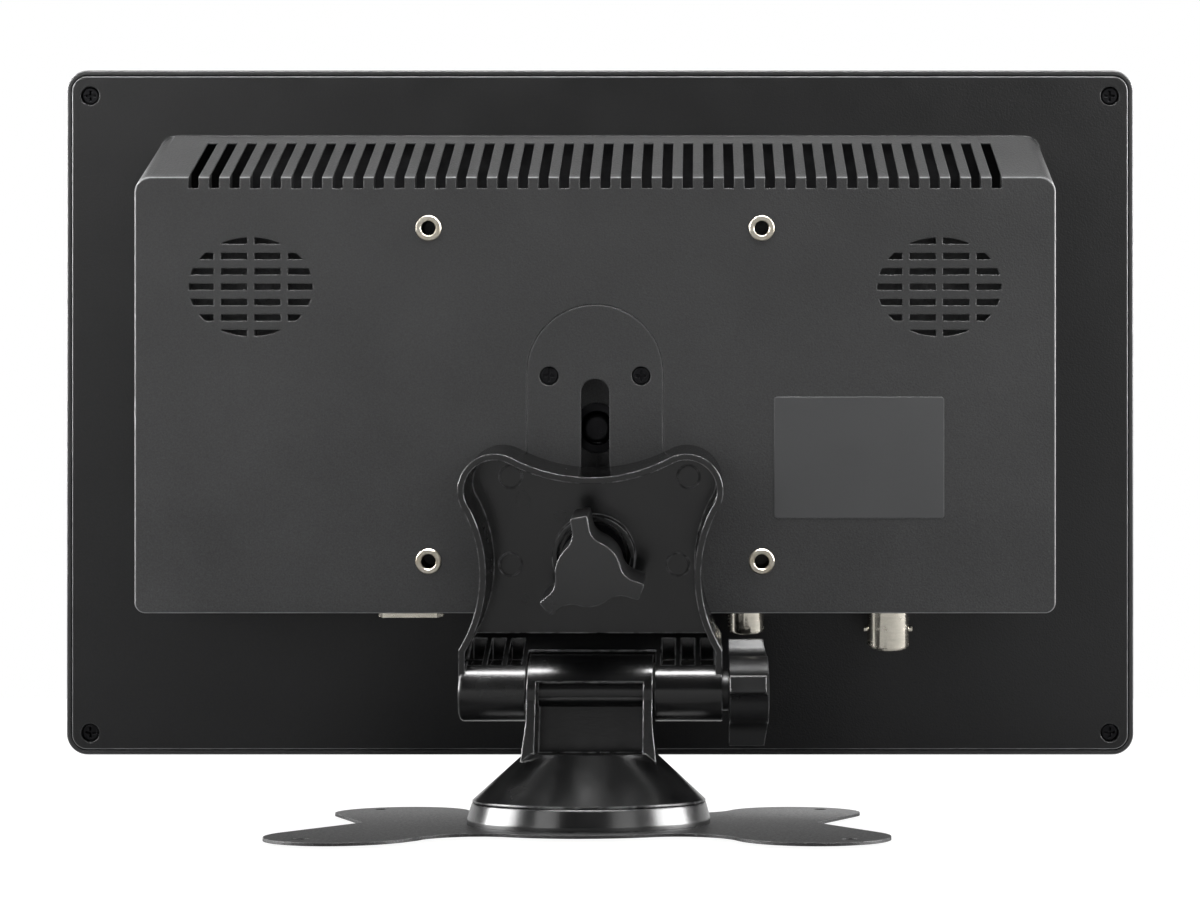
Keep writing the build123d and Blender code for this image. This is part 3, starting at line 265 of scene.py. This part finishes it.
def circuit_board(name):
    """Green solder mask with paler tracks and pads."""
    graph = Graph(name)
    cells = graph.node("ShaderNodeTexVoronoi", {"Vector": graph.place, "Scale": 190.0},
                       feature="DISTANCE_TO_EDGE", distance="EUCLIDEAN").outputs["Distance"]
    track = graph.span(cells, 0.10, 0.13, 1.0, 0.0)
    base = graph.mix(track, (0.012, 0.075, 0.03, 1.0), (0.03, 0.15, 0.055, 1.0))
    dust = graph.span(graph.noise(600.0, 3.0), 0.45, 0.7)
    base = graph.mix(graph.math("MULTIPLY", dust, 0.2), base, (0.2, 0.22, 0.2, 1.0))
    rough = graph.span(dust, 0.0, 1.0, 0.3, 0.5)
    return graph.finish(Base_Color=base, Roughness=rough, Normal=graph.bump(track, 0.00004))


def screen():
    """Anti-glare screen, switched off: a fine satin haze over near-black."""
    graph = Graph("screen_glass")
    haze = graph.noise(3800.0, 2.0, 0.6)
    cloud = graph.noise(14.0, 3.0)
    clear, cloudy = (0.007, 0.0075, 0.009, 1.0), (0.012, 0.0125, 0.015, 1.0)
    base = graph.mix(graph.span(cloud, 0.3, 0.7), clear, cloudy)
    smear = graph.span(graph.noise(32.0, 5.0, 0.6), 0.5, 0.75)
    rough = graph.math("ADD", graph.span(haze, 0.3, 0.7, 0.20, 0.28), graph.math("MULTIPLY", smear, 0.07))
    return graph.finish(Base_Color=base, Roughness=rough, Coat_Weight=0.35, Coat_Roughness=0.12,
                        Normal=graph.bump(haze, 0.000004))


def paper_cone():
    """Pressed paper of the loudspeaker cones."""
    graph = Graph("speaker_paper")
    fibre = graph.noise(900.0, 5.0, 0.7)
    base = graph.mix(graph.span(fibre, 0.3, 0.7), (0.03, 0.03, 0.031, 1.0), (0.075, 0.075, 0.077, 1.0))
    return graph.finish(Base_Color=base, Roughness=0.85, Normal=graph.bump(fibre, 0.00012))


def clear_plastic(name, color, roughness):
    """Tinted or clear moulded plastic with light inside it."""
    graph = Graph(name)
    flow = graph.noise(140.0, 3.0)
    base = graph.mix(graph.span(flow, 0.3, 0.7), shade(color, 0.85), shade(color, 1.1))
    rough = graph.span(flow, 0.3, 0.7, roughness, roughness + 0.1)
    return graph.finish(Base_Color=base, Roughness=rough, Transmission_Weight=0.35, IOR=1.49,
                        Normal=graph.bump(flow, 0.00002, graph.rounded(0.0001)))


def foam():
    """Cellular rubber of the pads under the base plate."""
    graph = Graph("foam_rubber")
    cells = graph.node("ShaderNodeTexVoronoi", {"Vector": graph.place, "Scale": 1600.0})
    cells = cells.outputs["Distance"]
    base = graph.mix(graph.span(cells, 0.1, 0.6), (0.008, 0.008, 0.008, 1.0), (0.035, 0.035, 0.036, 1.0))
    return graph.finish(Base_Color=base, Roughness=0.92, Normal=graph.bump(cells, 0.00015))


def sheet_metal(name, color, roughness):
    """Rolled sheet, with marks that run one way."""
    return metal(name, color, roughness, brushed=(60.0, 60.0, 1500.0), depth=0.000004, tarnish=0.2)


MATERIALS = {
    "case_plastic": case_plastic(),
    "bezel_plastic": moulded("bezel_plastic", (0.016, 0.0162, 0.0168), 0.36, 2400.0, 0.00002, wear_and_highlight=0.5,
                             round_edges=0.0006, corner_highlight_line=(0.10, 0.101, 0.104, 1.0)),
    "stand_plastic": moulded("stand_plastic", (0.0042, 0.0043, 0.0045), 0.22, 1500.0, 0.000008, wear_and_highlight=0.9,
                             wear_and_highlight_color=(0.13, 0.13, 0.133), round_edges=0.0005),
    "knob_plastic": moulded("knob_plastic", (0.012, 0.0122, 0.0127), 0.32, 1700.0, 0.000014, wear_and_highlight=0.8,
                            wear_and_highlight_color=(0.13, 0.13, 0.133), round_edges=0.0005),
    "label_vinyl": moulded("label_vinyl", (0.050, 0.051, 0.053), 0.5, 2600.0, 0.00001, contrast=0.06),
    "chip_plastic": moulded("chip_plastic", (0.012, 0.012, 0.013), 0.6, 2600.0, 0.00002),
    "flat_cable": moulded("flat_cable", (0.13, 0.075, 0.03), 0.4, 900.0, 0.00001),
    "wire_sleeve": moulded("wire_sleeve", (0.30, 0.02, 0.015), 0.45, 900.0, 0.00001),
    "switch_plastic": moulded("switch_plastic", (0.02, 0.02, 0.021), 0.5, 1800.0, 0.00002),
    "button_plastic": moulded("button_plastic", (0.016, 0.0162, 0.017), 0.28, 1400.0, 0.00001, wear_and_highlight=0.5),
    "socket_plastic": moulded("socket_plastic", (0.014, 0.014, 0.015), 0.4, 1600.0, 0.00002),
    "rca_plastic": moulded("rca_plastic", (0.02, 0.02, 0.02), 0.35, 1600.0, 0.00002),
    "white_insulator": moulded("white_insulator", (0.72, 0.70, 0.64), 0.35, 1200.0, 0.00001,
                               contrast=0.06, wear_and_highlight=0.0),
    "slip_plastic": moulded("slip_plastic", (0.70, 0.69, 0.65), 0.3, 1200.0, 0.00001,
                            contrast=0.05, wear_and_highlight=0.0),
    "fibre": moulded("fibre", (0.012, 0.011, 0.010), 0.7, 1800.0, 0.00003),
    "black_screw": metal("black_screw", (0.014, 0.014, 0.015), 0.3, tarnish=0.1),
    "zinc_steel": metal("zinc_steel", (0.55, 0.55, 0.54), 0.34, brushed=(300.0, 300.0, 900.0)),
    "insert_metal": threaded_insert(),
    "brass": metal("brass", (0.66, 0.47, 0.20), 0.3),
    "gold_contact": metal("gold_contact", (0.80, 0.58, 0.22), 0.22, tarnish=0.1),
    "chrome_shell": metal("chrome_shell", (0.74, 0.70, 0.61), 0.13, brushed=(300.0, 300.0, 1600.0),
                          depth=0.000002, tarnish=0.12, tarnish_color=(0.45, 0.38, 0.26)),
    # a dark sheet: partly the frame's own black coating, partly painted shade for the inside of the case
    "panel_frame_metal": sheet_metal("panel_frame_metal", (0.05, 0.05, 0.052), 0.45),
    "chassis_steel": sheet_metal("chassis_steel", (0.35, 0.35, 0.35), 0.4),
    "speaker_steel": sheet_metal("speaker_steel", (0.10, 0.10, 0.105), 0.5),
    "light_guide_acrylic": clear_plastic("light_guide_acrylic", (0.8, 0.82, 0.85), 0.1),
    "led_plastic": clear_plastic("led_plastic", (0.62, 0.66, 0.7), 0.15),
    "ir_plastic": clear_plastic("ir_plastic", (0.05, 0.004, 0.008), 0.12),
    "board": circuit_board("board"),
    "screen_glass": screen(),
    "speaker_paper": paper_cone(),
    "powder_coat": powder_coat(),
    "foam_rubber": foam(),
}


def dress_cad_nodes():
    """Give each CAD node the material of its slot in the record."""
    for entry in frame["record"]["subparts"]:
        node = NODES[entry["node"]]
        node.data.materials.clear()
        node.data.materials.append(MATERIALS[entry["material_slot"]])


# ---------------------------------------------------------------- studio
WHITE = (1.0, 1.0, 1.0, 1.0)
FADE_REACH = (0.2, 1.2)     # distances from the object over which the floor fades to white


def backdrop_material(near_glow=0.8):
    """Pale floor, which fades to the white of the backdrop away from the object.

    The white is there for the camera only: near_glow is its share close to the object, where the
    contact shadow shows through it.
    """
    graph = Graph("pale_floor")
    soft = graph.noise(3.0, 2.0)
    base = graph.mix(graph.span(soft, 0.3, 0.7), (0.64, 0.64, 0.64, 1.0), (0.67, 0.67, 0.67, 1.0))
    graph.finish(Base_Color=base, Roughness=0.9, Specular_IOR_Level=0.1)
    output = next(node for node in graph.tree.nodes if node.type == "OUTPUT_MATERIAL")
    matt = output.inputs["Surface"].links[0].from_socket
    reach = graph.node("ShaderNodeVectorMath", {0: graph.place}, operation="LENGTH").outputs["Value"]
    fade = graph.span(reach, *FADE_REACH, near_glow, 1.0)
    seen = graph.node("ShaderNodeLightPath").outputs["Is Camera Ray"]
    white = graph.node("ShaderNodeEmission", {"Color": WHITE, "Strength": 1.2})
    blend = graph.node("ShaderNodeMixShader")
    graph.feed(blend.inputs[0], graph.math("MULTIPLY", seen, fade))
    graph.feed(blend.inputs[1], matt)
    graph.feed(blend.inputs[2], white.outputs[0])
    graph.feed(output.inputs["Surface"], blend.outputs[0])
    return graph.material


def make_floor(half=6.0, cells=12):
    """A flat square floor, in a grid of cells."""
    verts, faces = [], []
    for row in range(cells + 1):
        for column in range(cells + 1):
            verts.append((half * (2 * column / cells - 1), half * (2 * row / cells - 1), 0.0))
    for row in range(cells):
        for column in range(cells):
            corner = row * (cells + 1) + column
            faces.append((corner, corner + 1, corner + cells + 2, corner + cells + 1))
    mesh = bpy.data.meshes.new("floor")
    mesh.from_pydata(verts, [], faces)
    mesh.materials.append(backdrop_material())
    floor = bpy.data.objects.new("floor", mesh)
    bpy.context.scene.collection.objects.link(floor)


def softbox(name, place, target, width, height, power, sheen_only=False):
    """An area light. With sheen_only it shows in reflections and adds no diffuse light."""
    light = bpy.data.lights.new(name, "AREA")
    light.shape = "RECTANGLE"
    light.size = width
    light.size_y = height
    light.energy = power
    box = bpy.data.objects.new(name, light)
    box.location = place
    box.rotation_euler = (Vector(target) - Vector(place)).to_track_quat("-Z", "Y").to_euler()
    bpy.context.scene.collection.objects.link(box)
    box.visible_camera = False
    box.visible_diffuse = not sheen_only


def make_world(seen=1.0, room=0.05, backdrop=0.95):
    """White to the camera. The light it gives is a pale backdrop behind and a dark room in front."""
    world = bpy.data.worlds.new("studio")
    bpy.context.scene.world = world
    world.use_nodes = True
    tree = world.node_tree
    tree.nodes.clear()
    direction = tree.nodes.new("ShaderNodeTexCoord")
    split = tree.nodes.new("ShaderNodeSeparateXYZ")
    tree.links.new(direction.outputs["Generated"], split.inputs[0])
    level = tree.nodes.new("ShaderNodeMapRange")
    for key, value in {"From Min": -0.2, "From Max": 0.3, "To Min": room, "To Max": backdrop}.items():
        level.inputs[key].default_value = value
    tree.links.new(split.outputs["Y"], level.inputs["Value"])
    path = tree.nodes.new("ShaderNodeLightPath")
    strength = tree.nodes.new("ShaderNodeMapRange")
    tree.links.new(level.outputs["Result"], strength.inputs["To Min"])
    strength.inputs["To Max"].default_value = seen
    tree.links.new(path.outputs["Is Camera Ray"], strength.inputs["Value"])
    background = tree.nodes.new("ShaderNodeBackground")
    background.inputs["Color"].default_value = WHITE
    tree.links.new(strength.outputs["Result"], background.inputs["Strength"])
    output = tree.nodes.new("ShaderNodeOutputWorld")
    tree.links.new(background.outputs["Background"], output.inputs["Surface"])


def make_studio():
    """Soft light from the front corners and sides, with strips that draw the rounded edges."""
    middle = panel_point(0.0, 0.0, 0.0)
    for side, x in (("left", -1.0), ("right", 1.0)):
        softbox("front_" + side, (0.75 * x, -0.95, 0.15), middle, 0.5, 1.0, 5.8)
        softbox("side_" + side, (1.1 * x, 0.1, 0.45), middle, 0.6, 1.0, 10.0)
        softbox("edge_" + side, (1.05 * x, 0.0, 0.25), middle, 0.7, 1.2, 55.0, sheen_only=True)
    softbox("top_strip", (0.0, -0.46, 0.9), (0.0, 0.0, 0.05), 1.3, 0.16, 36.0, sheen_only=True)
    softbox("screen_side", (0.5, 1.1, 0.9), middle, 0.9, 0.9, 8.0)
    make_world()


# ---------------------------------------------------------------- camera
# Its place in the panel frame, in metres behind the raised back, across and up; then the lens.
CAMERA_DISTANCE = 0.333
CAMERA_X = 0.0236
CAMERA_UP = 0.0337
LENS = 44.4
SHIFT_X = -0.0833
SHIFT_Y = -0.1708


def shift_for_this_view(lens, camera, name, amount):
    """Shift the lens only while the camera still has its Euler rotation, as it has for this view."""
    curve = lens.driver_add(name)
    curve.driver.type = "SUM"
    mode = curve.driver.variables.new()
    mode.targets[0].id = camera
    mode.targets[0].data_path = "rotation_mode"
    for modifier in list(curve.modifiers):
        curve.modifiers.remove(modifier)
    line = curve.modifiers.new("GENERATOR")
    line.poly_order = 1
    line.coefficients = (0.0, amount)


def make_camera():
    """Square on to the back of the monitor, with the lens shifted to bring the whole stand in."""
    lens = bpy.data.cameras.new("camera")
    lens.lens = LENS
    lens.sensor_width = 36.0
    lens.clip_start = 0.01
    lens.clip_end = 50.0
    camera = bpy.data.objects.new("camera", lens)
    camera.rotation_mode = "XYZ"
    camera.location = panel_point(CAMERA_X, -CAMERA_DISTANCE, CAMERA_UP)
    camera.rotation_euler = (math.radians(90) + LEAN, 0.0, 0.0)
    bpy.context.scene.collection.objects.link(camera)
    bpy.context.scene.camera = camera
    shift_for_this_view(lens, camera, "shift_x", SHIFT_X)
    shift_for_this_view(lens, camera, "shift_y", SHIFT_Y)


dress_cad_nodes()
make_floor()
make_studio()
make_camera()
bpy.context.scene.view_settings.view_transform = "Standard"
